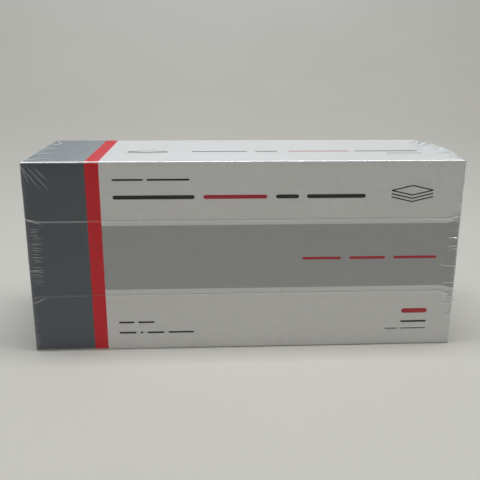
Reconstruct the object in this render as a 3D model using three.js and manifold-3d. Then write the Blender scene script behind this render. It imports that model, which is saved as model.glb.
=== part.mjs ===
// Carton of interfolded aluminium foil sheets in a clear shrink film, standing on one long side.
// Millimetres, +Z up. -Y is the wide dispensing face, and the origin is the centre of the underside.

import * as THREE from 'three';
import { mergeVertices } from 'three/addons/utils/BufferGeometryUtils.js';
import Module from 'manifold-3d';

const wasm = await Module();
wasm.setup();

// Driving dimensions
const WIDTH = 310; // over the film, along X
const DEPTH = 110; // over the film, along Y
const HEIGHT = 141; // over the film, along Z
const FILM = 0.3; // solid standing for the shrink film
const BOARD = 1; // micro-flute board
const FOIL = 0.3; // solid standing for a foil leaf
const GAP = 0.3; // clearance between touching pieces

const TEAR_LOW = 43.4; // lower perforation line
const TEAR_HIGH = 98.9; // upper perforation line
const FLARE_RUN = 9.5; // length of the slanted cut at each end of a perforation line
const FLARE_DOWN = 4; // how far the lower line drops at the ends
const FLARE_UP = 2.5; // how far the upper line rises at the ends

const GLUE_FLAP = 15; // height of the glue flap
const GLUE_FLAP_LENGTH = 298; // length of the glue flap at its crease
const GLUE_FLAP_TAPER = 7.5; // how much shorter each end of it is at its free edge
const DUST_FLAP = 42; // length of a dust flap from its crease
const DUST_FRONT = -46; // dust flap's edge beside the tuck lip
const DUST_BACK = 50; // dust flap's edge beside the closure's hinge, before its 45 degree taper
const DUST_TAPER = 2; // taper of the dust flap's edge beside the tuck lip
const LIP_LENGTH = 15; // tuck lip from its crease
const LIP_LEAN = 12; // degrees that the tucked lip leans in from the front panel
const LIP_MARGIN = 6; // lip set back from the closure's upper and lower edges
const LIP_CORNER = 8; // radius of the lip's corners
const LIP_PIVOT = 0.7; // crease of the lip behind the front panel's inner face
const LIP_BEND = 0.6; // room for the bend between the crease and a plate

const SHEET_LENGTH = 300; // foil sheet along X
const LOOSE_SHEETS = 6; // foremost sheets, each a piece of its own
const HEADSPACE = 6.1; // free depth between the front panel and the first sheet
const LEAF_PITCH = 0.65; // loose leaf to loose leaf
const FOLD_RELIEF = 0.8; // free edge of a leaf short of its neighbour's fold
const FOLD_HEADROOM = 2.5; // folds of the sheets below the top panel
const STACK_LEAVES = 41; // leaves of the solid standing for the rest of the sheets
const STACK_START = 0.9; // room between the last loose leaf and the stack

const CUT_PAST = 1; // a cutting solid runs this far past what it cuts

// Worked out from the driving dimensions
const WRAP = FILM + GAP;
const OUT_X = WIDTH / 2 - WRAP;
const OUT_Y = DEPTH / 2 - WRAP;
const LOW_Z = WRAP;
const HIGH_Z = HEIGHT - WRAP;
const IN_Y = OUT_Y - BOARD;
const FLOOR_Z = LOW_Z + BOARD;
const CEILING_Z = HIGH_Z - BOARD;
const CLOSURE_X = OUT_X - BOARD;
const SLEEVE_X = CLOSURE_X - GAP;
const DUST_X = SLEEVE_X - BOARD / 2;
const FOLD_LOW = FLOOR_Z + 2 * GAP;
const FOLD_HIGH = CEILING_Z - FOLD_HEADROOM;
const FIRST_LEAF_Y = -IN_Y + HEADSPACE;

const COLOURS = {
  print: { color: 0xd9d9d6, roughness: 0.55, metalness: 0 },
  greyPrint: { color: 0x8a8d8c, roughness: 0.55, metalness: 0 },
  rawBoard: { color: 0xcbb894, roughness: 0.85, metalness: 0 },
  foil: { color: 0xd4d6d8, roughness: 0.3, metalness: 1 },
  film: { color: 0xf4f7fa, roughness: 0.12, metalness: 0 },
};

const product = new THREE.Group();

function addMesh(name, geometry, finish, parent = product) {
  const mesh = new THREE.Mesh(geometry, new THREE.MeshStandardMaterial(COLOURS[finish]));
  mesh.name = name;
  parent.add(mesh);
}

function polygon(points) {
  return new THREE.Shape(points.map(([x, y]) => new THREE.Vector2(x, y)));
}

// A box between two corners.
function slab(low, high) {
  const [dx, dy, dz] = high.map((value, axis) => value - low[axis]);
  const geometry = new THREE.BoxGeometry(dx, dy, dz);
  geometry.translate(low[0] + dx / 2, low[1] + dy / 2, low[2] + dz / 2);
  return geometry;
}

// An outline drawn in X and Z, extruded from yFront back to yBack.
function frontPlate(shape, yFront, yBack) {
  const geometry = new THREE.ExtrudeGeometry(shape, { depth: yBack - yFront, bevelEnabled: false });
  geometry.rotateX(Math.PI / 2);
  geometry.translate(0, yBack, 0);
  return geometry;
}

// An outline drawn in Y and Z, extruded from xLow to xHigh.
function sidePlate(shape, xLow, xHigh) {
  const geometry = new THREE.ExtrudeGeometry(shape, { depth: xHigh - xLow, bevelEnabled: false });
  geometry.rotateX(Math.PI / 2);
  geometry.rotateZ(Math.PI / 2);
  geometry.translate(xLow, 0, 0);
  return geometry;
}

function toSolid(geometry) {
  const bare = geometry.clone();
  bare.deleteAttribute('normal');
  bare.deleteAttribute('uv');
  const merged = mergeVertices(bare);
  const mesh = new wasm.Mesh({
    numProp: 3,
    vertProperties: new Float32Array(merged.attributes.position.array),
    triVerts: new Uint32Array(merged.index.array),
  });
  return new wasm.Manifold(mesh);
}

function toGeometry(solid) {
  const mesh = solid.getMesh();
  const geometry = new THREE.BufferGeometry();
  geometry.setAttribute('position', new THREE.BufferAttribute(mesh.vertProperties, 3));
  geometry.setIndex(new THREE.BufferAttribute(mesh.triVerts, 1));
  geometry.computeVertexNormals();
  return geometry;
}

// Heights of the two perforation lines from one end to the other, moved apart by grow.
function tearLine(level, flare, grow) {
  const knee = OUT_X - FLARE_RUN;
  const end = level + flare + Math.sign(flare) * grow;
  const middle = level + Math.sign(flare) * grow;
  return [[-OUT_X, end], [-knee, middle], [knee, middle], [OUT_X, end]];
}

function tearOutline(grow) {
  const low = tearLine(TEAR_LOW, -FLARE_DOWN, grow);
  const high = tearLine(TEAR_HIGH, FLARE_UP, grow);
  return polygon([...low, ...high.reverse()]);
}

// Sleeve of the carton: the panels that stay joined when the box is opened.
function addSleeve() {
  const halfGap = GAP / 2;
  const lowerEdge = tearLine(TEAR_LOW, -FLARE_DOWN, halfGap).reverse();
  const upperEdge = tearLine(TEAR_HIGH, FLARE_UP, halfGap);
  const base = FLOOR_Z + GAP;
  const head = CEILING_Z - GAP;
  const lower = polygon([[-OUT_X, base], [OUT_X, base], ...lowerEdge]);
  const upper = polygon([[-OUT_X, head], ...upperEdge, [OUT_X, head]]);
  addMesh('front_lower_panel', frontPlate(lower, -OUT_Y, -IN_Y), 'print');
  addMesh('front_upper_panel', frontPlate(upper, -OUT_Y, -IN_Y), 'print');
  addMesh('top_panel', slab([-SLEEVE_X, -OUT_Y, CEILING_Z], [SLEEVE_X, OUT_Y, HIGH_Z]), 'print');
  addMesh('bottom_panel', slab([-SLEEVE_X, -OUT_Y, LOW_Z], [SLEEVE_X, OUT_Y, FLOOR_Z]), 'print');
  addMesh('back_panel', slab([-SLEEVE_X, IN_Y, base], [SLEEVE_X, OUT_Y, head]), 'print');
  const flapBack = IN_Y - GAP;
  const flapEnd = GLUE_FLAP_LENGTH / 2;
  const flap = polygon([
    [-flapEnd, base],
    [flapEnd, base],
    [flapEnd - GLUE_FLAP_TAPER, base + GLUE_FLAP],
    [-flapEnd + GLUE_FLAP_TAPER, base + GLUE_FLAP],
  ]);
  addMesh('glue_flap', frontPlate(flap, flapBack - BOARD, flapBack), 'rawBoard');
}

// Perforated panel that is torn out of the wide face, with the film over it.
function addTearPanel() {
  const outline = tearOutline(-GAP / 2);
  addMesh('tear_out_panel', frontPlate(outline, -OUT_Y, -IN_Y), 'greyPrint');
  addMesh('film_tear_patch', frontPlate(outline, -DEPTH / 2, -DEPTH / 2 + FILM), 'film');
}

// Tuck lip in its own frame: crease along Z at the origin, lip pointing along +X.
function lipGeometry() {
  const half = (HIGH_Z - LOW_Z) / 2 - LIP_MARGIN;
  const tip = LIP_LENGTH;
  const shape = new THREE.Shape();
  shape.moveTo(LIP_BEND, -half);
  shape.lineTo(tip - LIP_CORNER, -half);
  shape.absarc(tip - LIP_CORNER, -half + LIP_CORNER, LIP_CORNER, -Math.PI / 2, 0);
  shape.lineTo(tip, half - LIP_CORNER);
  shape.absarc(tip - LIP_CORNER, half - LIP_CORNER, LIP_CORNER, 0, Math.PI / 2);
  shape.lineTo(LIP_BEND, half);
  shape.closePath();
  return frontPlate(shape, -BOARD / 2, BOARD / 2);
}

// Dust flap from its crease towards the middle of the end, for a flap hanging from the top.
function dustFlapShape(creaseZ, direction) {
  const root = creaseZ + direction * GAP;
  const tip = root + direction * DUST_FLAP;
  return polygon([
    [DUST_FRONT, root],
    [DUST_BACK, root],
    [DUST_BACK - DUST_FLAP, tip],
    [DUST_FRONT + DUST_TAPER, tip],
  ]);
}

// One end of the carton. side is 1 at the right end and -1 at the left.
function addEnd(side, word) {
  const between = (a, b) => [Math.min(side * a, side * b), Math.max(side * a, side * b)];
  const [closureLow, closureHigh] = between(CLOSURE_X, OUT_X);
  const frontEdge = -IN_Y + LIP_PIVOT + LIP_BEND + GAP;
  const closure = slab(
    [closureLow, frontEdge, LOW_Z + GAP],
    [closureHigh, OUT_Y - GAP, HIGH_Z - GAP],
  );
  addMesh(`${word}_end_closure`, closure, 'print');

  const lipFrame = new THREE.Group();
  lipFrame.position.set(side * (CLOSURE_X + BOARD / 2), -IN_Y + LIP_PIVOT, (LOW_Z + HIGH_Z) / 2);
  const lean = THREE.MathUtils.degToRad(LIP_LEAN);
  lipFrame.rotation.z = side > 0 ? Math.PI - lean : lean;
  product.add(lipFrame);
  addMesh(`${word}_tuck_lip`, lipGeometry(), 'print', lipFrame);

  const [dustLow, dustHigh] = between(DUST_X - BOARD / 2, DUST_X + BOARD / 2);
  const upperShape = dustFlapShape(CEILING_Z - BOARD / 2 - GAP, -1);
  const lowerShape = dustFlapShape(FLOOR_Z + BOARD / 2 + GAP, 1);
  addMesh(`${word}_upper_dust_flap`, sidePlate(upperShape, dustLow, dustHigh), 'rawBoard');
  addMesh(`${word}_lower_dust_flap`, sidePlate(lowerShape, dustLow, dustHigh), 'rawBoard');

  const [filmLow, filmHigh] = between(WIDTH / 2 - FILM, WIDTH / 2);
  const film = slab([filmLow, -DEPTH / 2, 0], [filmHigh, OUT_Y - GAP, HEIGHT]);
  addMesh(`${word}_end_film`, film, 'film');
}

// Closed outline of a folded sheet seen from its end: a path of square turns, FOIL thick.
function ribbon(path) {
  const half = FOIL / 2;
  const heading = (from, to) => [Math.sign(to[0] - from[0]), Math.sign(to[1] - from[1])];
  const left = [];
  const right = [];
  path.forEach((point, i) => {
    const into = i > 0 ? heading(path[i - 1], point) : null;
    const out = i < path.length - 1 ? heading(point, path[i + 1]) : null;
    const sides = [into, out].filter(Boolean).map(([dy, dz]) => [-dz, dy]);
    const offset = sides.reduce((sum, side) => [sum[0] + side[0], sum[1] + side[1]]);
    left.push([point[0] + offset[0] * half, point[1] + offset[1] * half]);
    right.push([point[0] - offset[0] * half, point[1] - offset[1] * half]);
  });
  return polygon([...left, ...right.reverse()]);
}

function addFoilPiece(name, path) {
  addMesh(name, sidePlate(ribbon(path), -SHEET_LENGTH / 2, SHEET_LENGTH / 2), 'foil');
}

// The foremost sheets, folded in half and hooked into each other: odd ones fold at the bottom,
// even ones at the top, and each fold holds a leaf of the sheet before and of the sheet after.
function addLooseSheets() {
  const names = ['first', 'second', 'third', 'fourth', 'fifth', 'sixth'];
  const leafY = (slot) => FIRST_LEAF_Y + slot * LEAF_PITCH;
  for (let k = 1; k <= LOOSE_SHEETS; k += 1) {
    const front = leafY(k === 1 ? 0 : 2 * k - 3);
    const back = leafY(2 * k);
    const foldsLow = k % 2 === 1;
    const fold = foldsLow ? FOLD_LOW : FOLD_HIGH;
    const free = foldsLow ? FOLD_HIGH - FOLD_RELIEF : FOLD_LOW + FOLD_RELIEF;
    addFoilPiece(`${names[k - 1]}_sheet`, [[front, free], [front, fold], [back, fold], [back, free]]);
  }
}

// The rest of the sheets as one fan-folded solid with the bulk of the real stack.
function addStack() {
  const start = FIRST_LEAF_Y + 2 * LOOSE_SHEETS * LEAF_PITCH + STACK_START;
  const end = IN_Y - 2 * GAP - BOARD - GAP;
  const pitch = (end - start) / (STACK_LEAVES - 1);
  const path = [];
  for (let leaf = 0; leaf < STACK_LEAVES; leaf += 1) {
    const y = start + leaf * pitch;
    const rising = leaf % 2 === 0;
    path.push([y, rising ? FOLD_LOW : FOLD_HIGH]);
    path.push([y, rising ? FOLD_HIGH : FOLD_LOW]);
  }
  addFoilPiece('foil_stack', path);
}

// Film round the four long sides, open over the tear-out panel.
function addFilmSleeve() {
  const halfDepth = DEPTH / 2;
  const outline = polygon([[-halfDepth, 0], [halfDepth, 0], [halfDepth, HEIGHT], [-halfDepth, HEIGHT]]);
  const inner = halfDepth - FILM;
  const top = HEIGHT - FILM;
  outline.holes.push(polygon([[-inner, FILM], [-inner, top], [inner, top], [inner, FILM]]));
  const tube = toSolid(sidePlate(outline, -SLEEVE_X, SLEEVE_X));
  const cutter = toSolid(frontPlate(tearOutline(GAP / 2), -halfDepth - CUT_PAST, -inner + CUT_PAST));
  addMesh('film_sleeve', toGeometry(tube.subtract(cutter)), 'film');
}

addSleeve();
addTearPanel();
addEnd(-1, 'left');
addEnd(1, 'right');
addLooseSheets();
addStack();
addFilmSleeve();

export default product;
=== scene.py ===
"""Looks of a printed carton of interfolded foil sheets in clear shrink film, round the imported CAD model."""
import math

import bmesh
import bpy
import numpy as np
from mathutils import Matrix, Vector


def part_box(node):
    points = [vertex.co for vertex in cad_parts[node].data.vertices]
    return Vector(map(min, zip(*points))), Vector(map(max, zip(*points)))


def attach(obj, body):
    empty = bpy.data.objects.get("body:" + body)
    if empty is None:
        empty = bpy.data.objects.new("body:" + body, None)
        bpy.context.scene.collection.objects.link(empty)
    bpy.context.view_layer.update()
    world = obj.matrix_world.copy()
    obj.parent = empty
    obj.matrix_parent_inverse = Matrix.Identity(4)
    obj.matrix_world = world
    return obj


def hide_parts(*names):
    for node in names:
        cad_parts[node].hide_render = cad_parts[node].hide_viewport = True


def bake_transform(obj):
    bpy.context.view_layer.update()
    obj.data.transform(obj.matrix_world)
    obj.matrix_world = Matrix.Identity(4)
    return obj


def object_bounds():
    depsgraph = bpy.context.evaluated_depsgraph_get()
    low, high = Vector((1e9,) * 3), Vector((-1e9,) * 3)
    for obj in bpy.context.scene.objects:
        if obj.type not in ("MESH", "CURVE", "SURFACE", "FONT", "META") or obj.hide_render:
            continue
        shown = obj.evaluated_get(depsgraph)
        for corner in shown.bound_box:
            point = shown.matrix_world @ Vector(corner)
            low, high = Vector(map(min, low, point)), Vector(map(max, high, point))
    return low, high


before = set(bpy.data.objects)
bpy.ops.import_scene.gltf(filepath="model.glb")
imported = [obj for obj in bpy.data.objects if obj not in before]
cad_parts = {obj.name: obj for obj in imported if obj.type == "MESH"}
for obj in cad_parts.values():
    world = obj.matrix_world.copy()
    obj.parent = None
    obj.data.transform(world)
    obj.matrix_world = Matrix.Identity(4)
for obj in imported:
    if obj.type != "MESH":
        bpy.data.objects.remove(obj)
cad_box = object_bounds()

MM = 0.001

# ---- sizes, from the frame
top_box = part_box("top_panel")
front_lower_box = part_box("front_lower_panel")
front_upper_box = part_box("front_upper_panel")
tear_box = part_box("tear_out_panel")
closure_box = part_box("right_end_closure")
lip_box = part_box("right_tuck_lip")
stack_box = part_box("foil_stack")

BOARD = top_box[1].z - top_box[0].z
SWELL = 0.3 * MM  # the board's faces stand this far out of the CAD faces, close under the film
OUT_X = front_upper_box[1].x + SWELL
SLEEVE_X = top_box[1].x + SWELL
OUT_Y = top_box[1].y + SWELL
LOW_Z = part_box("bottom_panel")[0].z - SWELL
HIGH_Z = top_box[1].z + SWELL
CAD_SLIT = 0.3 * MM
TEAR_LOW = front_lower_box[1].z + CAD_SLIT / 2
TEAR_HIGH = front_upper_box[0].z - CAD_SLIT / 2
FLARE_DOWN = TEAR_LOW - tear_box[0].z - CAD_SLIT / 2
FLARE_UP = tear_box[1].z - TEAR_HIGH - CAD_SLIT / 2
FLARE_RUN = 9.5 * MM  # the stretch at each end over which a perforation splays
FLARE_FADE = 12 * MM  # how far above and below a perforation the points still follow it
LEFT_END = cad_box[0].x

CREASE = 1.2 * MM  # outer radius of a folded edge
SLIT = 0.12 * MM  # what shows of a perforation's cut
GROOVE = 0.26 * MM  # how deep the board is pressed in above a perforation's slit
LIP_RISE = 0.34 * MM  # how far the lip below the slit stands out
GROOVE_WIDTH = 1.3 * MM
GROOVE_STEPS = 5
UPPER_LIP_WEAR_AND_HIGHLIGHT = 0.36  # how far the ink on that lip is lightened, at the upper line: partly crushed ink, partly a painted highlight
LOWER_LIP_WEAR_AND_HIGHLIGHT = 0.16
FILM_OFF = 0.25 * MM  # film above the board
FILM_WAVE = (70 * MM, 0.16 * MM)  # pitch and height of the film's slow undulation
FILM_SINK = 0.2 * MM  # the most that it dips towards the board
WAVE_SEED = {"front": 5, "top": 3, "back": 4}

# Print layout, from the left end and from the floor
BAND_END = 43.3 * MM
STRIPE_END = 52.9 * MM
PANEL_TINT_LOW = 47.4 * MM
PANEL_TINT_HIGH = 95.2 * MM


# ---- materials
class Look:
    """A new material, with short ways to add nodes to it.

    A node's input is given as a number or colour to set, or as another node's output to link.
    """

    def __init__(self, name):
        self.material = bpy.data.materials.new(name)
        self.material.use_nodes = True
        self.tree = self.material.node_tree
        self.shader = self.tree.nodes["Principled BSDF"]

    def feed(self, node, inputs):
        for name, value in inputs.items():
            socket = node.inputs[name]
            if isinstance(value, bpy.types.NodeSocket):
                self.tree.links.new(value, socket)
            else:
                socket.default_value = (*value, 1) if socket.type == "RGBA" else value

    def shade(self, inputs):
        """Set the shader's own inputs and return the finished material."""
        self.feed(self.shader, inputs)
        return self.material

    def add(self, kind, inputs, output, **settings):
        node = self.tree.nodes.new("ShaderNode" + kind)
        for name, value in settings.items():
            setattr(node, name, value)
        self.feed(node, inputs)
        return node.outputs[output]

    def noise(self, scale, detail, stretch=(1, 1, 1)):
        spot = self.add("TexCoord", {}, "Object")
        spot = self.add("Mapping", {"Vector": spot, "Scale": stretch}, "Vector")
        return self.add("TexNoise", {"Vector": spot, "Scale": scale, "Detail": detail}, "Fac")

    def spread(self, value, low, high):
        """value, from 0.3 to 0.7 as noise mostly runs, mapped to low..high."""
        inputs = {"Value": value, "From Min": 0.3, "From Max": 0.7, "To Min": low, "To Max": high}
        return self.add("MapRange", inputs, "Result")

    def mix(self, share, first, second):
        inputs = {"Factor": share, "A": first, "B": second}
        return self.add("Mix", inputs, "Result", data_type="RGBA")

    def bump(self, height, distance, strength=1.0, normal=None):
        inputs = {"Height": height, "Distance": distance, "Strength": strength}
        if normal is not None:
            inputs["Normal"] = normal
        return self.add("Bump", inputs, "Normal")

    def creases(self, scale, height, normal):
        """Flat facets with sharp creases between them, as in foil that was crumpled."""
        spot = self.add("TexCoord", {}, "Object")
        cells = self.add("TexVoronoi", {"Vector": spot, "Scale": scale}, "Distance")
        return self.bump(cells, height, normal=normal)

    def attribute(self, name):
        return self.add("Attribute", {}, "Fac", attribute_name=name)

    def maths(self, operation, first, second):
        return self.add("Math", {0: first, 1: second}, "Value", operation=operation)


def print_material(name, colour, roughness, specular=0.05, worn_and_highlight=(0.80, 0.80, 0.80)):
    """Ink on coated board: slight mottle, fibre under the coating, and ink lightened along the folds and
    lips: partly crushed ink, partly a painted highlight.
    """
    look = Look(name)
    darker = tuple(c * 0.975 for c in colour)
    lighter = tuple(min(c * 1.02, 1.0) for c in colour)
    ink = look.mix(look.spread(look.noise(180.0, 5.0), 0.0, 1.0), darker, lighter)
    fibre = look.noise(1800.0, 3.0)
    crush_and_highlight = look.maths("MULTIPLY", look.attribute("wear_and_highlight"), look.spread(fibre, 0.75, 0.95))
    flute = look.bump(look.noise(60.0, 1.0, (0.15, 6.0, 6.0)), 0.04 * MM, 0.4)
    return look.shade({
        # The ink lightens along folds and perforation lips by the point attribute: partly crushed ink, partly
        # a painted highlight.
        "Base Color": look.mix(crush_and_highlight, ink, worn_and_highlight),
        "Roughness": look.spread(fibre, roughness - 0.05, roughness + 0.06),
        "Normal": look.bump(fibre, 0.004 * MM, 0.25, flute),
        "Specular IOR Level": specular,
    })


def raw_board_material(name, colour, specks):
    """Uncoated recycled board with fibres and specks."""
    look = Look(name)
    fibre = look.spread(look.noise(420.0, 8.0, (1.0, 0.4, 1.0)), 0.0, 1.0)
    return look.shade({
        "Base Color": look.mix(fibre, specks, colour),
        "Normal": look.bump(look.noise(900.0, 6.0), 0.06 * MM),
        "Roughness": 0.88,
    })


def foil_material(name, crumpled=False):
    """Bright side of rolled aluminium foil: fine rolling lines and soft crinkles, or creases if crumpled."""
    look = Look(name)
    rolling = look.noise(500.0, 3.0, (0.03, 1.0, 1.0))
    broad = look.bump(look.noise(70.0, 5.0), 1.2 * MM, 0.7)
    if crumpled:
        broad = look.creases(75.0, 4.2 * MM, broad)
        broad = look.creases(190.0, 0.9 * MM, broad)
    return look.shade({
        "Base Color": (0.88, 0.89, 0.90),
        "Metallic": 1.0,
        "Roughness": look.spread(rolling, 0.16, 0.34),
        "Normal": look.bump(rolling, 0.03 * MM, 0.5, broad),
    })


def film_material(name):
    """Clear shrink film: it mirrors by Fresnel's law, and turns milky white where it is creased: partly real
    clouding of the film, partly a painted highlight.
    """
    mirror_share, most_mirror = 0.75, 0.065
    look = Look(name)
    cloud = look.noise(45.0, 3.0)
    normal = look.bump(look.noise(28.0, 3.0), 0.7 * MM, 0.4)
    fresnel = look.add("Fresnel", {"IOR": 1.5, "Normal": normal}, "Fac")
    mirror = look.maths("MINIMUM", look.maths("MULTIPLY", fresnel, mirror_share), most_mirror)
    # Milky white where the point attribute says: partly real clouding of creased film, partly a painted
    # highlight.
    milky_and_highlight = look.maths("MULTIPLY", look.attribute("haze_and_highlight"), look.spread(cloud, 0.62, 0.82))
    clear = look.add("BsdfTransparent", {}, "BSDF")
    shares = {0: look.maths("MAXIMUM", mirror, milky_and_highlight), 1: clear, 2: look.shader.outputs["BSDF"]}
    film = look.add("MixShader", shares, "Shader")
    look.feed(look.tree.nodes["Material Output"], {"Surface": film})
    return look.shade({
        "Base Color": (0.97, 0.975, 0.98),
        "Metallic": look.maths("SUBTRACT", 1.0, milky_and_highlight),
        "Roughness": look.spread(cloud, 0.07, 0.15),
        "Normal": normal,
    })


BAND, RED, WHITE, TINT, INSIDE, EDGE = range(6)
END_INK = {-1: BAND, 1: WHITE}
BOARD_MATERIALS = [
    print_material("print_charcoal", (0.068, 0.084, 0.105), 0.22, specular=0.48),
    print_material("print_red", (0.72, 0.014, 0.024), 0.5, worn_and_highlight=(0.85, 0.28, 0.28)),
    print_material("print_white", (0.78, 0.775, 0.76), 0.5),
    print_material("print_grey", (0.44, 0.45, 0.44), 0.5),
    raw_board_material("board_inside", (0.60, 0.55, 0.47), (0.46, 0.41, 0.34)),
    raw_board_material("board_cut_edge", (0.50, 0.46, 0.40), (0.38, 0.34, 0.29)),
]
INKS = {"black": print_material("ink_black", (0.022, 0.022, 0.025), 0.42),
        "red": print_material("ink_red", (0.50, 0.03, 0.045), 0.42)}
FOIL = foil_material("foil_bright")
CRUMPLED_FOIL = foil_material("foil_crumpled", True)
FILM = film_material("shrink_film")


def cos_sin(degrees):
    return math.cos(math.radians(degrees)), math.sin(math.radians(degrees))


# ---- mesh helpers
def link(mesh, materials, smooth_angle=35):
    for material in materials:
        mesh.materials.append(material)
    mesh.polygons.foreach_set("use_smooth", [True] * len(mesh.polygons))
    mesh.set_sharp_from_angle(angle=math.radians(smooth_angle))
    piece = bpy.data.objects.new(mesh.name, mesh)
    bpy.context.scene.collection.objects.link(piece)
    return piece


def grid_faces(rows, columns, start=0):
    index = start + np.arange(rows * columns).reshape(rows, columns)
    quads = np.stack([index[:-1, :-1], index[1:, :-1], index[1:, 1:], index[:-1, 1:]], axis=-1)
    return quads.reshape(-1, 4)


def rim_faces(rows, columns, offset):
    """Quads that join the borders of two grids of the same size."""
    index = np.arange(rows * columns).reshape(rows, columns)
    border = [*index[0, :], *index[1:, -1], *index[-1, -2::-1], *index[-2:0:-1, 0]]
    after = border[1:] + border[:1]
    return np.array([(a, b, b + offset, a + offset) for a, b in zip(border, after)])


def closed_faces(rows, columns):
    """Faces of a closed sheet between two grids of points: the first grid's, the second's and the rim's."""
    count = rows * columns
    return (grid_faces(rows, columns), grid_faces(rows, columns, count)[:, ::-1],
            rim_faces(rows, columns, count))


def new_mesh(name, points, faces):
    mesh = bpy.data.meshes.new(name)
    mesh.from_pydata(points.reshape(-1, 3).tolist(), [], faces.tolist())
    return mesh


def finished(work, name):
    mesh = bpy.data.meshes.new(name)
    work.to_mesh(mesh)
    work.free()
    return mesh


def along_rows(values, columns):
    """A grid that holds each value all along its row."""
    return np.repeat(np.array(values)[:, None], columns, axis=1)


def board_piece(name, outer, inner, paint, wear_and_highlight=None):
    """A closed sheet of board between two grids of points. paint is its ink, or gives each face's ink."""
    points = np.concatenate([outer.reshape(-1, 3), inner.reshape(-1, 3)])
    front, back, rim = closed_faces(*outer.shape[:2])
    mesh = new_mesh(name, points, np.concatenate([front, back, rim]))
    piece = link(mesh, BOARD_MATERIALS)
    kinds = [paint(*centre) if callable(paint) else paint for centre in points[front].mean(axis=1)]
    kinds += [INSIDE] * len(back) + [EDGE] * len(rim)
    mesh.polygons.foreach_set("material_index", kinds)
    fix_normals(mesh)
    if wear_and_highlight is not None:
        point_attribute(mesh, "wear_and_highlight", np.concatenate([wear_and_highlight.ravel(), np.zeros(wear_and_highlight.size)]))
    return piece


def fix_normals(mesh):
    work = bmesh.new()
    work.from_mesh(mesh)
    bmesh.ops.recalc_face_normals(work, faces=work.faces)
    work.to_mesh(mesh)
    work.free()


def point_attribute(mesh, name, values):
    layer = mesh.attributes.new(name, "FLOAT", "POINT")
    layer.data.foreach_set("value", np.asarray(values, dtype=np.float32).ravel())


def surface_piece(name, points, material, haze_and_highlight=None):
    """One open sheet of points, its faces turned away from the carton's middle."""
    mesh = new_mesh(name, points, grid_faces(*points.shape[:2]))
    middle = Vector((0, 0, HIGH_Z / 2))
    if sum((face.center - middle).dot(face.normal) * face.area for face in mesh.polygons) < 0:
        mesh.flip_normals()
    if haze_and_highlight is not None:
        point_attribute(mesh, "haze_and_highlight", haze_and_highlight)
    return link(mesh, [material], 60)


def place(piece, body, slot, *nodes):
    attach(piece, body)
    if nodes:
        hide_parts(*nodes)


# ---- outline of the carton
def tear_shift(x, low_share, high_share):
    """How far a point at x is shifted up by the splay of the lower and of the upper perforation."""
    run = np.clip((np.abs(x) - (OUT_X - FLARE_RUN)) / FLARE_RUN, 0, 1)
    return low_share * (-FLARE_DOWN * run) + high_share * (FLARE_UP * run)


def flare_share(distance):
    """How much of a perforation's splay is left this far from it."""
    return np.clip(1 - distance / FLARE_FADE, 0, 1)


def press_above(distance):
    """How far the board is pressed in, this far above a perforation's slit."""
    near = max(0.0, 1 - distance / GROOVE_WIDTH)
    return GROOVE * near * near * (3 - 2 * near)


def press_below(distance):
    """The same below the slit, where the lip stands out instead."""
    return -LIP_RISE * float(np.interp(distance / GROOVE_WIDTH, (0, 0.5, 1), (0, 1, 0)))


# Lightening of the ink on a perforation's lower lip: partly crushed ink, partly a painted highlight.
def lip_wear_and_highlight(distance, most):
    return most * float(np.interp(distance / GROOVE_WIDTH, (0, 0.5, 0.75), (1, 1, 0)))


def stretch(start, stop, spacing):
    steps = max(2, int(math.ceil(abs(stop - start) / spacing)) + 1)
    return np.linspace(start, stop, steps)


def joined(*stretches):
    """Stations of several stretches in one row, each of them once."""
    return np.unique(np.round(np.concatenate([stretch(*ends) for ends in stretches]), 7))


def front_row(z, press, low_share, high_share, end=OUT_X):
    return "front", -OUT_Y + press, z, -1, 0, end, low_share, high_share


def section_rows(front_spacing, other_spacing, crease_steps):
    """The carton's section in Y and Z, from the lower perforation round to the upper one.

    Each row is (side, y, z, normal y, normal z, end x or None for the columns' own, share of the lower
    splay, share of the upper splay).
    """
    inner_y, inner_low, inner_high = OUT_Y - CREASE, LOW_Z + CREASE, HIGH_Z - CREASE

    def crease(y, z, start, side, end_from, end_to):
        for step in range(1, crease_steps):
            share = step / crease_steps
            ny, nz = cos_sin(start + 90 * share)
            end = end_from + (end_to - end_from) * share
            rows.append((side, y + CREASE * ny, z + CREASE * nz, ny, nz, end, 0, 0))

    low_edge = TEAR_LOW - SLIT / 2
    high_edge = TEAR_HIGH + SLIT / 2
    rows = [front_row(z, press_below(low_edge - z), flare_share(low_edge - z), 0)
            for z in [*np.linspace(low_edge, low_edge - GROOVE_WIDTH, GROOVE_STEPS)[:-1],
                      *stretch(low_edge - GROOVE_WIDTH, inner_low, front_spacing)]]
    crease(-inner_y, inner_low, 180, "front", OUT_X, SLEEVE_X)
    rows += [("bottom", y, LOW_Z, 0, -1, SLEEVE_X, 0, 0) for y in stretch(-inner_y, inner_y, other_spacing)]
    crease(inner_y, inner_low, 270, "bottom", SLEEVE_X, SLEEVE_X)
    rows += [("back", OUT_Y, z, 1, 0, SLEEVE_X, 0, 0) for z in stretch(inner_low, inner_high, other_spacing)]
    crease(inner_y, inner_high, 0, "back", SLEEVE_X, SLEEVE_X)
    rows += [("top", y, HIGH_Z, 0, 1, SLEEVE_X, 0, 0) for y in stretch(inner_y, -inner_y, other_spacing)]
    crease(-inner_y, inner_high, 90, "top", SLEEVE_X, OUT_X)
    rows += [front_row(z, press_above(z - high_edge), 0, flare_share(z - high_edge))
             for z in [*stretch(inner_high, high_edge + GROOVE_WIDTH, front_spacing),
                       *np.linspace(high_edge + GROOVE_WIDTH, high_edge, GROOVE_STEPS)[1:]]]
    return rows


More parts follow.
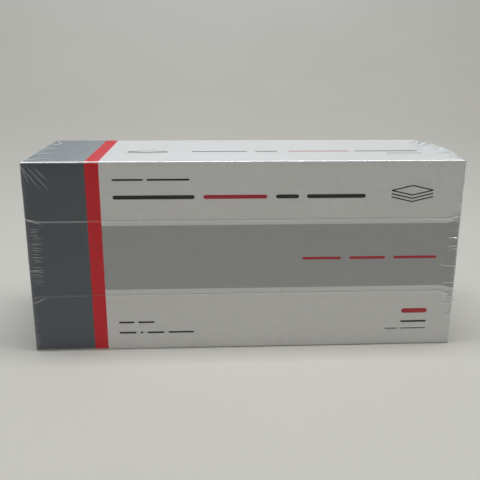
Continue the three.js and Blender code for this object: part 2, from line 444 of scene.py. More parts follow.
def section_grid(rows, columns, offset):
    """Points of the section's rows at the given x columns, moved out along the normals by offset."""
    points = np.zeros((len(rows), len(columns), 3))
    for i, (_, y, z, ny, nz, end, low_share, high_share) in enumerate(rows):
        x = columns.copy()
        if end is not None:
            x[0], x[-1] = -end, end
        points[i, :, 0] = x
        points[i, :, 1] = y + offset * ny
        points[i, :, 2] = z + offset * nz + tear_shift(x, low_share, high_share)
    return points


def board_columns():
    """x of the board's columns: fine at the splayed ends, and one at each side of the stripe."""
    knee, fine = OUT_X - FLARE_RUN, 1.2 * MM
    band, stripe = LEFT_END + BAND_END, LEFT_END + STRIPE_END
    return joined((-OUT_X, -knee, fine), (-knee, band, 6 * MM), (band, stripe, 5 * MM),
                  (stripe, knee, 8 * MM), (knee, OUT_X, fine))


def sleeve_paint(x, y, z):
    from_left = x - LEFT_END
    if from_left < BAND_END:
        return BAND
    return RED if from_left < STRIPE_END else WHITE


def panel_paint(x, y, z):
    kind = sleeve_paint(x, y, z)
    tinted = kind == WHITE and PANEL_TINT_LOW < z < PANEL_TINT_HIGH
    return TINT if tinted else kind


# ---- carton sleeve
def bend_share(first, second):
    """1 in the middle of a right-angled fold and 0 on the flats beside it, from its normal's two parts."""
    return 2 * abs(first * second)


def fold_wear_and_highlight(rows, columns):
    """How much the ink is lightened at each point, as crushed ink and a painted highlight: most along the
    folds and on a perforation's lower lip.
    """
    wear_and_highlight = []
    for side, _, z, ny, nz, _, _, _ in rows:
        lip = lip_wear_and_highlight(TEAR_LOW - SLIT / 2 - z, LOWER_LIP_WEAR_AND_HIGHLIGHT) if side == "front" and z < TEAR_LOW else 0
        wear_and_highlight.append(max(bend_share(ny, nz) ** 1.5, lip))
    return along_rows(wear_and_highlight, len(columns))


def make_sleeve():
    rows = section_rows(6 * MM, 9 * MM, 6)
    columns = board_columns()
    outer = section_grid(rows, columns, 0.0)
    inner = section_grid(rows, columns, -BOARD)
    piece = board_piece("carton_sleeve", outer, inner, sleeve_paint, fold_wear_and_highlight(rows, columns))
    place(piece, "root", "printed_board", "front_upper_panel", "front_lower_panel", "top_panel",
          "bottom_panel", "back_panel")


# ---- tear-out panel
def panel_rows(spacing):
    """The tear-out panel's rows, from its bottom up, as section_rows gives the others."""
    low, high = TEAR_LOW + SLIT / 2, TEAR_HIGH - SLIT / 2
    heights = [
        *np.linspace(low, low + GROOVE_WIDTH, GROOVE_STEPS)[:-1],
        *stretch(low + GROOVE_WIDTH, PANEL_TINT_LOW, spacing)[:-1],
        *stretch(PANEL_TINT_LOW, PANEL_TINT_HIGH, spacing),
        *stretch(PANEL_TINT_HIGH, high - GROOVE_WIDTH, spacing)[1:],
        *np.linspace(high - GROOVE_WIDTH, high, GROOVE_STEPS)[1:],
    ]
    return [front_row(z, press_above(z - low) if z - low < high - z else press_below(high - z),
                      flare_share(z - low), flare_share(high - z), None) for z in heights]


def make_tear_panel():
    rows = panel_rows(4 * MM)
    outer = section_grid(rows, board_columns(), 0.0)
    inner = outer.copy()
    inner[:, :, 1] = -OUT_Y + BOARD
    wear_and_highlight = [lip_wear_and_highlight(TEAR_HIGH - SLIT / 2 - row[2], UPPER_LIP_WEAR_AND_HIGHLIGHT) for row in rows]
    piece = board_piece("tear_panel_board", outer, inner, panel_paint, along_rows(wear_and_highlight, outer.shape[1]))
    place(piece, "tear_panel", "grey_printed_board", "tear_out_panel")
    add_ties()


def add_ties():
    """Uncut ties of the perforations: little bridges across the slit, which tear with the panel."""
    pitch, width, depth, height = 5.0 * MM, 0.9 * MM, 0.45 * MM, 0.7 * MM
    below_groove = 0.05 * MM
    work = bmesh.new()
    knee = OUT_X - FLARE_RUN
    for x in np.arange(-knee + pitch / 2, knee, pitch):
        for level in (TEAR_LOW, TEAR_HIGH):
            size = Matrix.Diagonal((width, depth, height, 1))
            spot = Matrix.Translation((x, -OUT_Y + GROOVE + depth / 2 + below_groove, level))
            bmesh.ops.create_cube(work, size=1, matrix=spot @ size)
    ties = link(finished(work, "perforation_ties"), [BOARD_MATERIALS[EDGE]])
    place(ties, "tear_panel", "grey_printed_board")


# ---- ends
def closure_path():
    """Plan of a closure and its lip for the right end: (x, y, normal x, normal y, low z, high z)."""
    closure_z, lip_z = (np.array((box[0].z, box[1].z)) for box in (closure_box, lip_box))
    bend, bend_steps, bend_out = 1.2 * MM, 8, 0.9 * MM
    length, corner, lean = 13.6 * MM, 8 * MM, 12
    blunt = 0.94  # how much of the corner's rounding is kept at the lip's free edge
    centre = (OUT_X - bend, closure_box[0].y - bend_out + bend)
    path = [(OUT_X, y, 1, 0, *closure_z)
            for y in stretch(closure_box[1].y - CREASE, centre[1], 8 * MM)]
    for step in range(1, bend_steps + 1):
        nx, ny = cos_sin(-(90 + lean) * step / bend_steps)
        levels = closure_z + (lip_z - closure_z) * min(1, step / 2)
        path.append((centre[0] + bend * nx, centre[1] + bend * ny, nx, ny, *levels))
    start_x, start_y, nx, ny = path[-1][:4]
    cos, sin = cos_sin(lean)
    straight = length - corner
    distances = [*stretch(0, straight, 3 * MM)[1:]]
    distances += [straight + corner * math.sin(math.radians(a)) for a in range(10, 91, 10)]
    for distance in distances:
        past = max(0.0, distance - straight) / corner
        cut = min(corner * (1 - math.sqrt(max(0.0, 1 - past * past))), corner * blunt)
        path.append((start_x - cos * distance, start_y + sin * distance,
                     nx, ny, lip_z[0] + cut, lip_z[1] - cut))
    return path


def closure_grid(side, path, offset, rows=24):
    points = np.zeros((len(path), rows, 3))
    for i, (x, y, nx, ny, low, high) in enumerate(path):
        points[i, :, 0] = side * (x + offset * nx)
        points[i, :, 1] = y + offset * ny
        points[i, :, 2] = np.linspace(low, high, rows)
    return points


def make_end(side, word):
    path = closure_path()
    outer = closure_grid(side, path, 0.0)
    inner = closure_grid(side, path, -BOARD)
    bend_end = next(i for i, spot in enumerate(path) if spot[2:4] == path[-1][2:4])
    wear_and_highlight = [bend_share(*spot[2:4]) if i <= bend_end else 0 for i, spot in enumerate(path)]
    closure = board_piece(f"{word}_closure_board", outer, inner, END_INK[side],
                          along_rows(wear_and_highlight, outer.shape[1]))
    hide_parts(f"{word}_end_closure", f"{word}_tuck_lip")
    # The lip blends in over the bend: from a little before it to a little past it
    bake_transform(closure)
    make_shoulders(side, word)
    make_back_crease(side, word)
    for level in ("upper", "lower"):
        make_dust_flap(side, word, level)


def make_shoulders(side, word):
    """The closure's front corners beside the lip, which reach the front panel."""
    panel_clear, lip_clear, bend_overlap = 0.15 * MM, 0.25 * MM, 0.3 * MM
    front_y = -OUT_Y + BOARD + panel_clear
    spans = {"lower": (closure_box[0].z, lip_box[0].z - lip_clear),
             "upper": (lip_box[1].z + lip_clear, closure_box[1].z)}
    for level, (low, high) in spans.items():
        y, z = np.meshgrid(stretch(closure_box[0].y + bend_overlap, front_y, 0.6 * MM),
                           stretch(low, high, 1.5 * MM))
        grids = [np.stack([np.full(y.shape, side * x), y, z], axis=-1) for x in (OUT_X, OUT_X - BOARD)]
        tab = board_piece(f"{word}_{level}_closure_shoulder", *grids, END_INK[side])
        place(tab, f"{word}_closure", "printed_board")


def make_back_crease(side, word):
    """The folded strip between the back panel and a closure."""
    steps, overlap = 8, 0.2 * MM
    low, high = closure_box[0].z, closure_box[1].z
    path = [(SLEEVE_X - overlap, OUT_Y, 0.0, 1.0, low, high)]
    for step in range(steps + 1):
        nx, ny = cos_sin(90 - 90 * step / steps)
        path.append((OUT_X - CREASE + CREASE * nx, OUT_Y - CREASE + CREASE * ny, nx, ny, low, high))
    path.append((OUT_X, closure_box[1].y - CREASE, 1.0, 0.0, low, high))
    grids = [closure_grid(side, path, offset) for offset in (0.0, -BOARD)]
    wear_and_highlight = along_rows([bend_share(*spot[2:4]) for spot in path], grids[0].shape[1])
    strip = board_piece(f"{word}_back_crease", *grids, END_INK[side], wear_and_highlight)
    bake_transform(strip)


def flap_piece(name, rows, columns, depths, line, ink):
    """A flat flap. line gives the ends of its row at a depth and at a share of the way to its tip."""
    grids = []
    for depth in depths:
        grid = np.zeros((rows, columns, 3))
        for i, share in enumerate(np.linspace(0, 1, rows)):
            for axis, ends in enumerate(zip(*line(depth, share))):
                grid[i, :, axis] = np.linspace(*ends, columns)
        grids.append(grid)
    return board_piece(name, *grids, ink)


def make_dust_flap(side, word, level):
    node = f"{word}_{level}_dust_flap"
    low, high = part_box(node)
    root, tip = (high.z, low.z) if level == "upper" else (low.z, high.z)
    front_taper, back_taper, rounding = 2 * MM, abs(tip - root), 4 * MM

    def line(x, share):
        z = root + (tip - root) * share
        near = max(0.0, rounding - abs(tip - z))
        cut = rounding - math.sqrt(max(0.0, rounding ** 2 - near ** 2))
        front_y, back_y = low.y + front_taper * share + cut, high.y - back_taper * share - cut
        return (side * x, front_y, z), (side * x, back_y, z)

    depths = sorted((abs(low.x), abs(high.x)), reverse=True)
    flap = flap_piece(f"{node}_board", 13, 14, depths, line, WHITE)
    place(flap, f"{word}_{level}_flap", "plain_board", node)


# ---- glue flap
def make_glue_flap():
    low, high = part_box("glue_flap")
    taper = 7.5 * MM

    def line(y, share):
        z = low.z + (high.z - low.z) * share
        return (low.x + taper * share, y, z), (high.x - taper * share, y, z)

    flap = flap_piece("glue_flap_board", 5, 30, (high.y, low.y), line, INSIDE)
    place(flap, "root", "plain_board", "glue_flap")


# ---- print marks
def bar_outline(x0, x1, z0, z1, steps=6):
    """A bar with round ends, anticlockwise in X and Z."""
    radius = min(x1 - x0, z1 - z0) / 2
    middle = (z0 + z1) / 2
    quarter = math.pi / 2
    turns = [(radius * math.cos(a), radius * math.sin(a)) for a in np.linspace(-quarter, quarter, steps)]
    right = [(x1 - radius + across, middle + up) for across, up in turns]
    left = [(x0 + radius - across, middle - up) for across, up in turns]
    return right + left


def stroke_outline(start, end, width):
    along = Vector(end) - Vector(start)
    across = Vector((-along.y, along.x)).normalized() * width / 2
    return [tuple(Vector(p) + s * across) for p, s in ((start, -1), (end, -1), (end, 1), (start, 1))]


def icon(centre_x, centre_z):
    """A pile of sheets: a lozenge with two chevrons under it. Its centre is given as bars' places are."""
    half_width, half_height, width = 15 * MM, 5.6 * MM, 0.85 * MM
    x, z = LEFT_END + centre_x * MM, centre_z * MM + half_height * 0.35
    rise = half_height * 0.62
    tips = [(x - half_width, z), (x, z + rise), (x + half_width, z), (x, z - rise)]
    strokes = [stroke_outline(tips[i], tips[(i + 1) % 4], width) for i in range(4)]
    for drop in (half_height * 0.42, half_height * 0.84):
        for tip_x, tip_z in (tips[0], tips[2]):
            strokes.append(stroke_outline((tip_x, tip_z - drop), (x, z - rise - drop), width))
    return strokes


# The point on each face at a mark's (x, height) and its lift off the board
FACES = {
    "front": lambda x, z, lift: (x, -OUT_Y - lift, z),
    "panel": lambda x, z, lift: (x, -OUT_Y - lift, z),
    "top": lambda x, z, lift: (x, -OUT_Y + z, HIGH_Z + lift),
    "back": lambda x, z, lift: (-x, OUT_Y + lift, z),
}


def mark_piece(face, ink, outlines):
    """Flat ink marks on one face."""
    sunk, raised = -0.02 * MM, 0.05 * MM
    work = bmesh.new()
    for outline in outlines:
        low, high = ([work.verts.new(FACES[face](x, z, lift)) for x, z in outline] for lift in (sunk, raised))
        work.faces.new(low)
        work.faces.new(high)
        for i in range(len(outline)):
            j = (i + 1) % len(outline)
            work.faces.new((low[i], low[j], high[j], high[i]))
    bmesh.ops.recalc_face_normals(work, faces=work.faces)
    marks = link(finished(work, f"{face}_marks_{ink}"), [INKS[ink]])
    place(marks, "tear_panel" if face == "panel" else "root", "printed_board")


def bars(spans, middle, height):
    """Bars in place of words: spans are their start and end from the left end, in millimetres."""
    return [bar_outline(LEFT_END + a * MM, LEFT_END + b * MM, (middle - height / 2) * MM,
                        (middle + height / 2) * MM) for a, b in spans]


def make_marks():
    # Lines of print: (middle, height) in millimetres
    heading, title, note, last = (128, 1.3), (115.6, 2.8), (21.6, 1.3), (13.4, 1.3)
    panel_line, top_line, top_note = (69.6, 2.0), (45, 2.8), (34, 1.3)
    black = bars([(61.5, 83), (85.5, 115)], *heading)
    black += bars([(61.5, 118.5), (175.5, 192), (197.5, 239.5)], *title) + icon(273, 117.4)
    black += bars([(61.5, 73), (75.5, 87.5)], *note)
    black += bars([(61.5, 74), (77, 79), (82, 94.5), (97.5, 116.5)], *last)
    black += bars([(271.5, 291)], 18.8, 1.4) + bars([(260, 269.5), (271.5, 291)], 13.2, 0.7)
    mark_piece("front", "black", black)
    red = bars([(124.5, 169.5)], *title) + bars([(271.5, 291)], 27.4, 3.6)
    mark_piece("front", "red", red)
    panel = bars([(195.5, 224), (230, 256.5), (262.5, 294.5)], *panel_line)
    mark_piece("panel", "red", panel)
    top = bars([(116, 158), (164, 181), (240, 289)], *top_line) + bars([(262, 289)], *top_note) + icon(83, 44)
    mark_piece("top", "black", top)
    mark_piece("top", "red", bars([(189, 236)], *top_line))
    back = bars([(20, 41.5), (44, 73.5)], *heading) + bars([(20, 77), (134, 150.5), (156, 198)], *title)
    back += icon(234, 117.4) + bars([(20, 31.5), (34, 46)], *note) + bars([(20, 50), (53, 75)], *last)
    mark_piece("back", "black", back)
    mark_piece("back", "red", bars([(83, 128)], *title))


# ---- shrink film
random = np.random.default_rng(20)
SINE_WAVES = 6
# Single wrinkles from the front's right edge: height above the floor (mm), angle, length (mm)
RIGHT_WRINKLES = (
    (84.1, 180, 8), (77.9, 180, 8), (76.4, 196, 7), (62.0, 172, 13), (49.5, 180, 10), (34.4, 192, 9),
    (37.2, 190, 6), (25.1, 184, 5), (110.2, 180, 6), (118.5, 180, 4), (40.3, 176, 9), (38.8, 184, 8),
    (101.9, 190, 9), (96.4, 172, 8), (45.6, 186, 6),
)
# Wrinkles in the film over the top: x, y (mm), angle, length, height (mm)
TOP_GATHERS = (
    (152, 50, 253, 44, 0.7), (153, 40, 240, 26, 0.5), (153, 10, 205, 16, 0.5), (153, -8, 215, 18, 0.4),
    (153, -26, 196, 15, 0.5), (152, -44, 160, 18, 0.35), (152, 24, 228, 24, 0.5), (-152, 50, -70, 26, 0.5),
    (-153, 30, -35, 16, 0.4), (-153, 6, -12, 13, 0.35), (-153, -20, 10, 14, 0.35), (-152, -46, 25, 16, 0.3),
)


def ridge(u, v, start, angle, length, height, width):
    """Height of one wrinkle over the points (u, v): it starts at a border and runs out at angle."""
    behind = 0.35  # share of its length that lies past the border
    cos, sin = cos_sin(angle)
    along = ((u - start[0]) * cos + (v - start[1]) * sin) / length
    across = (-(u - start[0]) * sin + (v - start[1]) * cos) / width
    taper = np.sin(np.pi * np.clip((along + behind) / (1 + behind), 0, 1)) ** 0.8
    return height * taper * np.exp(-across * across)


def wave(u, v, pitch, height, seed):
    """Slow undulation: a few crossing sine waves."""
    source = np.random.default_rng(seed)
    total = 0
    for _ in range(SINE_WAVES):
        angle, phase = source.uniform(0, 2 * math.pi, 2)
        size = pitch * source.uniform(0.6, 1.8)
        total = total + np.sin((u * math.cos(angle) + v * math.sin(angle)) * 2 * math.pi / size + phase)
    return total * height / SINE_WAVES


def comb(side, low, high, count, longest, tallest, inset=0.0):
    """Short wrinkles along an end edge of the front, one above another, inset from the edge."""
    wrinkles = []
    for z in np.linspace(low, high, count):
        length = random.uniform(0.45, 1.0) * longest
        height = random.uniform(0.35, 1.0) * tallest
        angle = (0 if side < 0 else 180) + random.uniform(-7, 7)
        start = (side * (OUT_X - inset), z + random.uniform(-0.6, 0.6) * MM)
        wrinkles.append((start, angle, length, height, random.uniform(0.22, 0.36) * MM))
    return wrinkles


def front_wrinkles():
    """(start, angle, length, height, width) of each wrinkle in the film over the front."""
    found = comb(-1, 52 * MM, 93 * MM, 40, 11 * MM, 0.26 * MM, 3.5 * MM)
    found += comb(-1, 8 * MM, 40 * MM, 7, 7 * MM, 0.22 * MM)
    found += comb(1, 46 * MM, 96 * MM, 9, 7 * MM, 0.3 * MM)
    found += comb(1, 104 * MM, 134 * MM, 7, 6 * MM, 0.3 * MM)
    for z, angle, length in RIGHT_WRINKLES:
        found.append(((OUT_X, z * MM), angle, length * MM, 0.62 * MM, 0.42 * MM))
    found.append(((-OUT_X, 62.9 * MM), 0, 12 * MM, 0.36 * MM, 0.3 * MM))
    corner_x, corner_z = OUT_X - 1.5 * MM, 136 * MM
    for shift, angle, length in ((0.5, -55, 22), (4.2, -50, 24), (8.5, -47, 13), (-0.5, -68, 13)):
        found.append(((shift * MM - corner_x, corner_z), angle, length * MM, 0.2 * MM, 0.58 * MM))
    for shift, angle, length in ((0, 232, 15), (-4, 226, 12)):
        found.append(((shift * MM + corner_x, corner_z), angle, length * MM, 0.2 * MM, 0.8 * MM))
    # Wrinkles that lead in from the splayed ends of both perforations
    upper, lower = TEAR_HIGH + FLARE_UP, TEAR_LOW - FLARE_DOWN
    for side, level in ((-1, 0), (1, 180)):
        for z, slope, length, height, width in ((upper - 0.4 * MM, 20, 13, 0.42, 0.36),
                                                (lower - 2.2 * MM, -22, 14, 0.4, 0.38),
                                                (lower + 1.4 * MM, -20, 10, 0.26, 0.34)):
            found.append(((side * OUT_X, z), level + side * slope, length * MM, height * MM, width * MM))
    return found


WRINKLES = {
    "front": front_wrinkles(),
    "top": [((x * MM, y * MM), angle, length * MM, height * MM, 0.9 * MM)
            for x, y, angle, length, height in TOP_GATHERS],
}


def creases(u, v, wrinkles):
    return sum(ridge(u, v, *wrinkle) for wrinkle in wrinkles)


def crease_haze_and_highlight(height):
    """A crease turns milky white with its height: partly real clouding of the film, partly a painted
    highlight on its crest.
    """
    clear, milky_and_highlight = 0.05 * MM, 0.41 * MM
    return np.clip((height - clear) / (milky_and_highlight - clear), 0, 1)


def top_bulge(x, y):
    """How far the film over the top stands off near an end, where it is gathered loosely."""
    left_height, right_height, reach = 0.6 * MM, 2.2 * MM, 13 * MM
    tallest = np.where(x > 0, right_height, left_height)
    near = np.exp(-((np.abs(x) - OUT_X) / reach) ** 2)
    return tallest * near * np.cos(np.clip(y / (OUT_Y + 1 * MM), -1, 1) * math.pi / 2) ** 1.2


def seam(z, middle, height):
    """Height of a welded seam that runs level at z = middle."""
    half_width = 0.8 * MM
    return height * np.exp(-((z - middle) / half_width) ** 2)


def film_columns():
    near, reach = 0.5 * MM, OUT_X - 18 * MM
    return joined((-OUT_X, -reach, near), (-reach, reach, 2.6 * MM), (reach, OUT_X, near))


def back_seam(x, z):
    """Welded seam along the back, with puckers to both sides."""
    source = np.random.default_rng(31)
    middle = HIGH_Z / 2
    total = seam(z, middle, 0.45 * MM)
    for spot in np.arange(-150, 151, 7.5):
        for way in (90, -90):
            start = ((spot + source.uniform(-2.5, 2.5)) * MM, middle)
            total += ridge(x, z, start, way + source.uniform(-20, 20), source.uniform(5, 12) * MM,
                           source.uniform(0.05, 0.25) * MM, 1.3 * MM)
    return total


def make_film_wrap():
    """Film round the long sides, open where the tear-out panel is."""
    calm_run = 7 * MM  # the undulation dies out over this at each long edge
    # Painted highlight: the film goes milky white along the carton's folds and over the loose bulge on top.
    fold_highlight, bulge_highlight = 0.75, 3.0 * MM
    rows = section_rows(0.5 * MM, 1.6 * MM, 7)
    columns = film_columns()
    points = section_grid(rows, columns, FILM_OFF)
    normals = np.array([row[3:5] for row in rows])
    haze_and_highlight = along_rows([bend_share(*row[3:5]) * fold_highlight for row in rows], len(columns))
    sides = np.array([row[0] for row in rows])
    for side, seed in WAVE_SEED.items():
        picked = sides == side
        part = points[picked]
        u, v = part[:, :, 0], part[:, :, 1 if side == "top" else 2]
        crease = back_seam(u, v) if side == "back" else creases(u, v, WRINKLES[side])
        calm = np.clip(np.minimum(v - v.min(), v.max() - v) / calm_run, 0, 1)
        height = crease + wave(u, v, *FILM_WAVE, seed) * calm
        if side == "top":
            bulge = top_bulge(u, v)
            height += bulge
            haze_and_highlight[picked] = np.maximum(haze_and_highlight[picked], bulge / bulge_highlight)
        height = np.maximum(height, -FILM_SINK)
        part[:, :, 1] += height * normals[picked, 0, None]
        part[:, :, 2] += height * normals[picked, 1, None]
        points[picked] = part
        haze_and_highlight[picked] = np.maximum(haze_and_highlight[picked], crease_haze_and_highlight(crease))
    piece = surface_piece("film_wrap", points, FILM, haze_and_highlight)
    place(piece, "root", "film", "film_sleeve")


def make_film_patch():
    points = section_grid(panel_rows(0.3 * MM), film_columns(), FILM_OFF)
    u, v = points[:, :, 0], points[:, :, 2]
    crease = creases(u, v, WRINKLES["front"])
    height = crease + wave(u, v, *FILM_WAVE, WAVE_SEED["front"])
    points[:, :, 1] -= np.maximum(height, -FILM_SINK)
    piece = surface_piece("film_over_tear_panel", points, FILM, crease_haze_and_highlight(crease))
    place(piece, "tear_panel", "film", "film_tear_patch")


def end_creases(y, z, seed):
    """Gathers that run in from an end's border, and the puckers of its welded seam."""
    half_depth, half_height = OUT_Y, (HIGH_Z - LOW_Z) / 2
    middle = (HIGH_Z + LOW_Z) / 2
    source = np.random.default_rng(seed)
    total = 0
    for _ in range(40):
        angle = source.uniform(0, 360)
        direction = Vector(cos_sin(angle))
        reach = min(half_depth / max(abs(direction.x), 1e-3), half_height / max(abs(direction.y), 1e-3))
        start = (direction.x * reach, middle + direction.y * reach)
        total += ridge(y, z, start, angle + 180 + source.uniform(-14, 14), source.uniform(9, 26) * MM,
                       source.uniform(0.2, 0.5) * MM, source.uniform(0.6, 1.1) * MM)
    for spot in np.arange(-50, 51, 4.2):
        for way in (90, -90):
            start = ((spot + source.uniform(-1.2, 1.2)) * MM, middle)
            total += ridge(y, z, start, way + source.uniform(-16, 16), source.uniform(4, 13) * MM,
                           source.uniform(0.12, 0.4) * MM, source.uniform(0.5, 0.9) * MM)
    return total + seam(z, middle, 0.55 * MM)


def turned_edge(start, stop, spacing, turned):
    """Stations from start to stop and how far each lies behind the end's plane.

    The film is turned over round start, and round stop as well if turned says so. edge holds the turn's
    places in millimetres, each as a distance in from the edge and a distance behind the plane.
    """
    way = 1 if stop > start else -1
    edge = [(0.25, 2.6), (0.0, 1.5), (0.04, 0.9), (0.2, 0.4), (0.5, 0.12), (1.0, 0.0)]
    stations = [(start + way * a * MM, b * MM) for a, b in edge]
    last = stop - way * edge[-1][0] * MM if turned else stop
    stations += [(value, 0.0) for value in stretch(stations[-1][0], last, spacing)[1:]]
    if turned:
        stations += [(stop - way * a * MM, b * MM) for a, b in reversed(edge[:-1])]
    return np.array(stations).T


def make_end_film(side, word):
    """Film over one end, with a skirt that turns over the front, top and bottom edges."""
    spacing, turn_depth, loose_run, sink = 0.9 * MM, 1.5 * MM, 16 * MM, 0.25 * MM
    corner_depth, corner_highlight = 0.5 * MM, 0.9 if side > 0 else 0.25
    ys, y_behind = turned_edge(cad_box[0].y, closure_box[1].y, spacing, False)
    zs, z_behind = turned_edge(cad_box[0].z, cad_box[1].z, spacing, True)
    y, z = np.meshgrid(ys, zs)
    behind = np.maximum(y_behind[None, :], z_behind[:, None])
    flat = np.clip(1 - behind / turn_depth, 0, 1)
    crease = end_creases(y, z, 5 + side) * flat
    puff = top_bulge(np.full(y.shape, side * OUT_X), y)
    near_top = np.clip((z - (HIGH_Z - loose_run)) / loose_run, 0, 1) ** 2
    height = crease + wave(y, z, 45 * MM, 0.25 * MM, 5 + side) * flat + puff * 0.7 * near_top * flat
    x = cad_box[1].x - behind + np.maximum(height, -sink)
    corner = np.exp(-((behind - corner_depth) / corner_depth) ** 2) * np.where(behind > 0, 1, 0)
    # Painted highlight: a milky white line where the film turns over the end's edges, brighter on the right
    # end.
    haze_and_highlight = np.maximum(crease_haze_and_highlight(crease) * 0.6, corner * corner_highlight)
    points = np.stack([side * x, y, z + puff * near_top], axis=-1)
    piece = surface_piece(f"{word}_film_over_end", points, FILM, haze_and_highlight)
    place(piece, f"{word}_closure", "film", f"{word}_end_film")


# ---- foil
SHEET_X = stack_box[1].x
LEAF = 0.08 * MM
LEAF_INSET = 0.15 * MM  # a folded sheet's leaves lie this far inside its CAD box
PLEAT_HALF = 72 * MM
FACET_WAVES = 4


def crinkle(x, z, seed):
    return wave(x, z, 24 * MM, 0.10 * MM, seed) + wave(x, z, 7 * MM, 0.035 * MM, seed + 50)


def facets(u, v, pitch, height, seed):
    """Sharp folds from 0 to height: a few crossing triangle waves."""
    source = np.random.default_rng(seed)
    total = 0
    for _ in range(FACET_WAVES):
        angle, phase = source.uniform(0, math.pi), source.uniform(0, 1)
        turn = (u * math.cos(angle) + v * math.sin(angle)) / (pitch * source.uniform(0.7, 1.6)) + phase
        total = total + 2 * np.abs(turn - np.round(turn))
    return total * height / FACET_WAVES


def leaf_grids(y, z_values, columns, seed):
    """A leaf crumpled into the free depth in front of it, most where the pleat's sides are gathered.

    It stays flat at its fold, its free edge and the tuck lips.
    """
    low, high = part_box("first_sheet")
    x, z = np.meshgrid(columns, z_values)
    lip_clear, lip_fade, fold_clear, fold_fade = 5 * MM, 12 * MM, 3 * MM, 10 * MM
    gather_inside, gather_run = 10 * MM, 14 * MM
    room = np.clip((lip_box[0].x - lip_clear - np.abs(x)) / lip_fade, 0, 1)
    room *= np.clip((np.minimum(z - low.z, high.z - z) - fold_clear) / fold_fade, 0, 1)
    gathered = np.clip((np.abs(x) - PLEAT_HALF + gather_inside) / gather_run, 0, 1)
    crumple = facets(x, z, 13 * MM, 2.3 * MM, seed + 9) + facets(x, z, 5 * MM, 0.6 * MM, seed + 19)
    crumple = (crumple + facets(x, z, 5.5 * MM, 2.5 * MM, seed + 29) * gathered) * room
    return [np.stack([x, y + crinkle(x, z, seed) - crumple + t, z], axis=-1) for t in (0.0, LEAF)]


def foil_piece(name, leaves, material=FOIL, smooth_angle=50):
    """One mesh of closed leaves, each given as its front and back grids of points."""
    points, faces, count = [], [], 0
    for front, back in leaves:
        faces += [part + count for part in closed_faces(*front.shape[:2])]
        points += [front.reshape(-1, 3), back.reshape(-1, 3)]
        count += 2 * len(points[-1])
    mesh = new_mesh(name, np.concatenate(points), np.concatenate(faces))
    piece = link(mesh, [material], smooth_angle)
    fix_normals(mesh)
    return piece


def folded_sheet_grids(front_y, back_y, fold_z, free_z, columns, seed):
    """A sheet folded in half: front leaf, round fold and back leaf."""
    leaf_rows, fold_steps = 46, 8
    radius = (back_y - front_y) / 2
    way = 1 if fold_z > free_z else -1
    straight = fold_z - way * radius
    leaf = np.linspace(free_z, straight, leaf_rows)
    rows = [(front_y, z, 1.0, 0.0) for z in leaf]
    for step in range(1, fold_steps):
        angle = math.pi * step / fold_steps
        rows.append((front_y + radius - radius * math.cos(angle), straight + way * radius * math.sin(angle),
                     math.cos(angle), -way * math.sin(angle)))
    rows += [(back_y, z, -1.0, 0.0) for z in leaf[::-1]]
    y, z, ny, nz = (np.array([row[i] for row in rows])[:, None] for i in range(4))
    lift = crinkle(columns, z, seed) * 0.6
    return [np.stack(np.broadcast_arrays(columns, y + lift + t * ny, z + t * nz), axis=-1)
            for t in (0.0, LEAF)]


def make_loose_sheets():
    columns = stretch(-SHEET_X, SHEET_X, 5 * MM)
    for seed, word in enumerate(("second", "third", "fourth", "fifth", "sixth"), start=2):
        node = f"{word}_sheet"
        low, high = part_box(node)
        folds_low = seed % 2 == 1
        fold, free = (low.z, high.z) if folds_low else (high.z, low.z)
        half = (high.y - low.y) / 2 - LEAF_INSET
        middle = (low.y + high.y) / 2
        leaf = folded_sheet_grids(middle - half, middle + half, fold, free, columns, seed)
        place(foil_piece(f"{node}_foil", [leaf]), "root", "foil", node)


def make_first_sheet():
    """The first sheet: its back leaf as one piece, and its front leaf in crumpled pieces, lower and upper,
    each cut into left, middle and right.

    The middle runs PLEAT_HALF to each side, and the crumpling runs out before it reaches a tuck lip.
    """
    edge_clear, lip_clear = 4 * MM, 2 * MM
    low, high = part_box("first_sheet")
    front_y, back_y = low.y + LEAF_INSET, high.y - LEAF_INSET
    columns = stretch(-SHEET_X, SHEET_X, 2.5 * MM)
    grids = folded_sheet_grids(front_y, back_y, low.z, high.z, columns, 1)
    stays = grids[0].shape[0] // 2 - 3  # the piece that stays starts a little before the fold's middle
    fold = foil_piece("first_sheet_back_leaf", [[grid[stays:] for grid in grids]])
    place(fold, "root", "foil")
    opening_low, opening_high = TEAR_LOW + edge_clear, TEAR_HIGH - edge_clear
    peak = (opening_low + opening_high) / 2
    levels = {"lower": (grids[0][stays, 0, 2], peak, opening_low), "upper": (peak, high.z, opening_high)}
    zones = {"left": (-SHEET_X, -PLEAT_HALF, 1), "middle": (-PLEAT_HALF, PLEAT_HALF, 0),
             "right": (PLEAT_HALF, SHEET_X, -1)}
    for level, (from_z, to_z, begin) in levels.items():
        heights = stretch(from_z, to_z, 0.6 * MM)
        for zone, (from_x, to_x, way) in zones.items():
            across = stretch(from_x, to_x, 1.2 * MM)
            leaf = leaf_grids(front_y, heights, across, 1)
            piece = foil_piece(f"first_sheet_{level}_{zone}", [leaf], CRUMPLED_FOIL)
            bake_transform(piece)
            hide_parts("first_sheet")


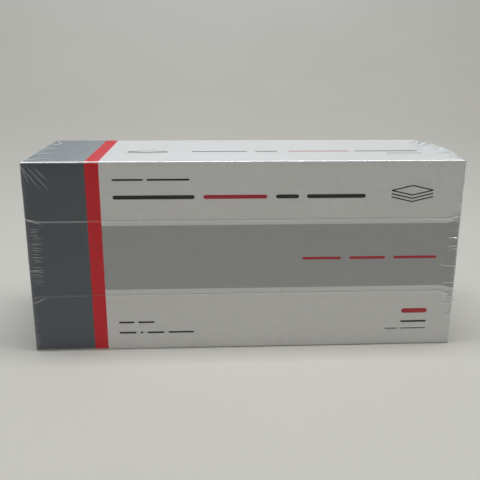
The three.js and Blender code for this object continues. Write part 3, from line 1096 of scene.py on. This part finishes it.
def make_stack():
    """The rest of the sheets: many thin leaves with uneven ends."""
    low, high = stack_box
    count, filled, ragged = 64, 0.72, 0.9
    thick = (high.y - low.y) / count * filled
    source = np.random.default_rng(7)
    columns = stretch(-SHEET_X, SHEET_X, 15 * MM)
    z_values = np.linspace(low.z, high.z, 12)
    leaves = []
    for y in np.linspace(low.y + 0.4 * MM, high.y - 0.5 * MM, count):
        ends = source.uniform(-ragged, 0.0, 2) * MM
        x_values = columns.copy()
        x_values[0] -= ends[0]
        x_values[-1] += ends[1]
        x, z = np.meshgrid(x_values, z_values)
        seed = int(y * 1e6) % 997  # another one for each leaf
        sway = wave(x, z, 60 * MM, 0.12 * MM, seed)
        leaves.append([np.stack([x, y + sway + way * thick / 2, z], axis=-1) for way in (-1, 1)])
    piece = foil_piece("foil_stack_leaves", leaves, smooth_angle=35)
    place(piece, "root", "foil", "foil_stack")


# ---- stage, lights and camera
def stage_material():
    look = Look("stage_pale")
    shade = look.spread(look.noise(3.0, 2.0), 0.0, 1.0)
    return look.shade({
        "Base Color": look.mix(shade, (0.73, 0.70, 0.645), (0.75, 0.72, 0.665)),
        "Roughness": 0.8,
        "Specular IOR Level": 0.2,
    })


def make_stage():
    """A pale round floor that curves up into a low wall all round. Sizes in metres."""
    flat, bend, height = 1.3, 1.8, 1.9
    profile = [(0.02, 0.0), (0.6, 0.0), (flat, 0.0)]
    profile += [(flat + bend * math.sin(a), bend - bend * math.cos(a))
                for a in np.linspace(0, math.pi / 2, 17)[1:]]
    profile.append((flat + bend, height))
    turns = np.linspace(0, 2 * math.pi, 97)
    points = np.array([[(r * math.cos(t), r * math.sin(t), z) for t in turns] for r, z in profile])
    floor = surface_piece("floor", points, stage_material())


def area_light(name, location, target, size, power, colour):
    data = bpy.data.lights.new(name, "AREA")
    data.shape = "RECTANGLE"
    data.size, data.size_y = size
    data.energy = power
    data.color = colour
    lamp = bpy.data.objects.new(name, data)
    lamp.location = location
    lamp.rotation_euler = (Vector(target) - Vector(location)).to_track_quat("-Z", "Y").to_euler()
    bpy.context.scene.collection.objects.link(lamp)


def make_lights():
    world = bpy.data.worlds.new("studio")
    bpy.context.scene.world = world
    world.use_nodes = True
    background = world.node_tree.nodes["Background"]
    background.inputs["Color"].default_value = (0.92, 0.96, 1.0, 1)
    background.inputs["Strength"].default_value = 0.16
    area_light("overhead", (0.0, -0.06, 1.4), (0, -0.06, 0.0), (1.4, 0.5), 14, (0.95, 0.98, 1.0))
    area_light("front_fill", (-0.5, -1.3, 1.3), (0, 0, 0.07), (0.3, 0.3), 0.3, (0.97, 0.98, 1.0))
    area_light("window", (0.0, 2.5, 0.8), (0, 0, 0.14), (3.6, 0.6), 6.5, (0.68, 0.87, 1.0))
    for y, power in ((-1, 5), (1, 13)):
        area_light("wall_wash", (0.0, y, 1.7), (0, 3 * y, 0.4), (2.6, 0.5), power, (1.0, 0.99, 0.97))


def make_camera():
    """The photographer's place: in front, a little left of centre and above, looking down."""
    image_size, shift_right, shift_up = 480, -0.5, -2
    spot = Vector((-28.4, -495.1, 213.9)) * MM
    (cos_pitch, sin_pitch), (cos_yaw, sin_yaw), (cos_roll, sin_roll) = map(cos_sin, (16.24, 3.13, 0.26))
    data = bpy.data.cameras.new("camera")
    data.sensor_width, data.lens = 36.0, 48.2
    data.shift_x, data.shift_y = shift_right / image_size, shift_up / image_size
    camera = bpy.data.objects.new("camera", data)
    ahead = Vector((sin_yaw * cos_pitch, cos_yaw * cos_pitch, -sin_pitch))
    right = Vector((cos_yaw, -sin_yaw, 0))
    up = right.cross(ahead)
    turned_right = cos_roll * right + sin_roll * up
    turned_up = cos_roll * up - sin_roll * right
    basis = Matrix((turned_right, turned_up, -ahead)).transposed().to_4x4()
    camera.matrix_world = Matrix.Translation(spot) @ basis
    bpy.context.scene.collection.objects.link(camera)
    bpy.context.scene.camera = camera


# ---- everything
bpy.context.scene.view_settings.view_transform = "Standard"
make_camera()
make_lights()
make_stage()
make_sleeve()
make_tear_panel()
make_end(-1, "left")
make_end(1, "right")
make_glue_flap()
make_marks()
make_stack()
make_loose_sheets()
make_first_sheet()
make_film_wrap()
make_film_patch()
make_end_film(-1, "left")
make_end_film(1, "right")
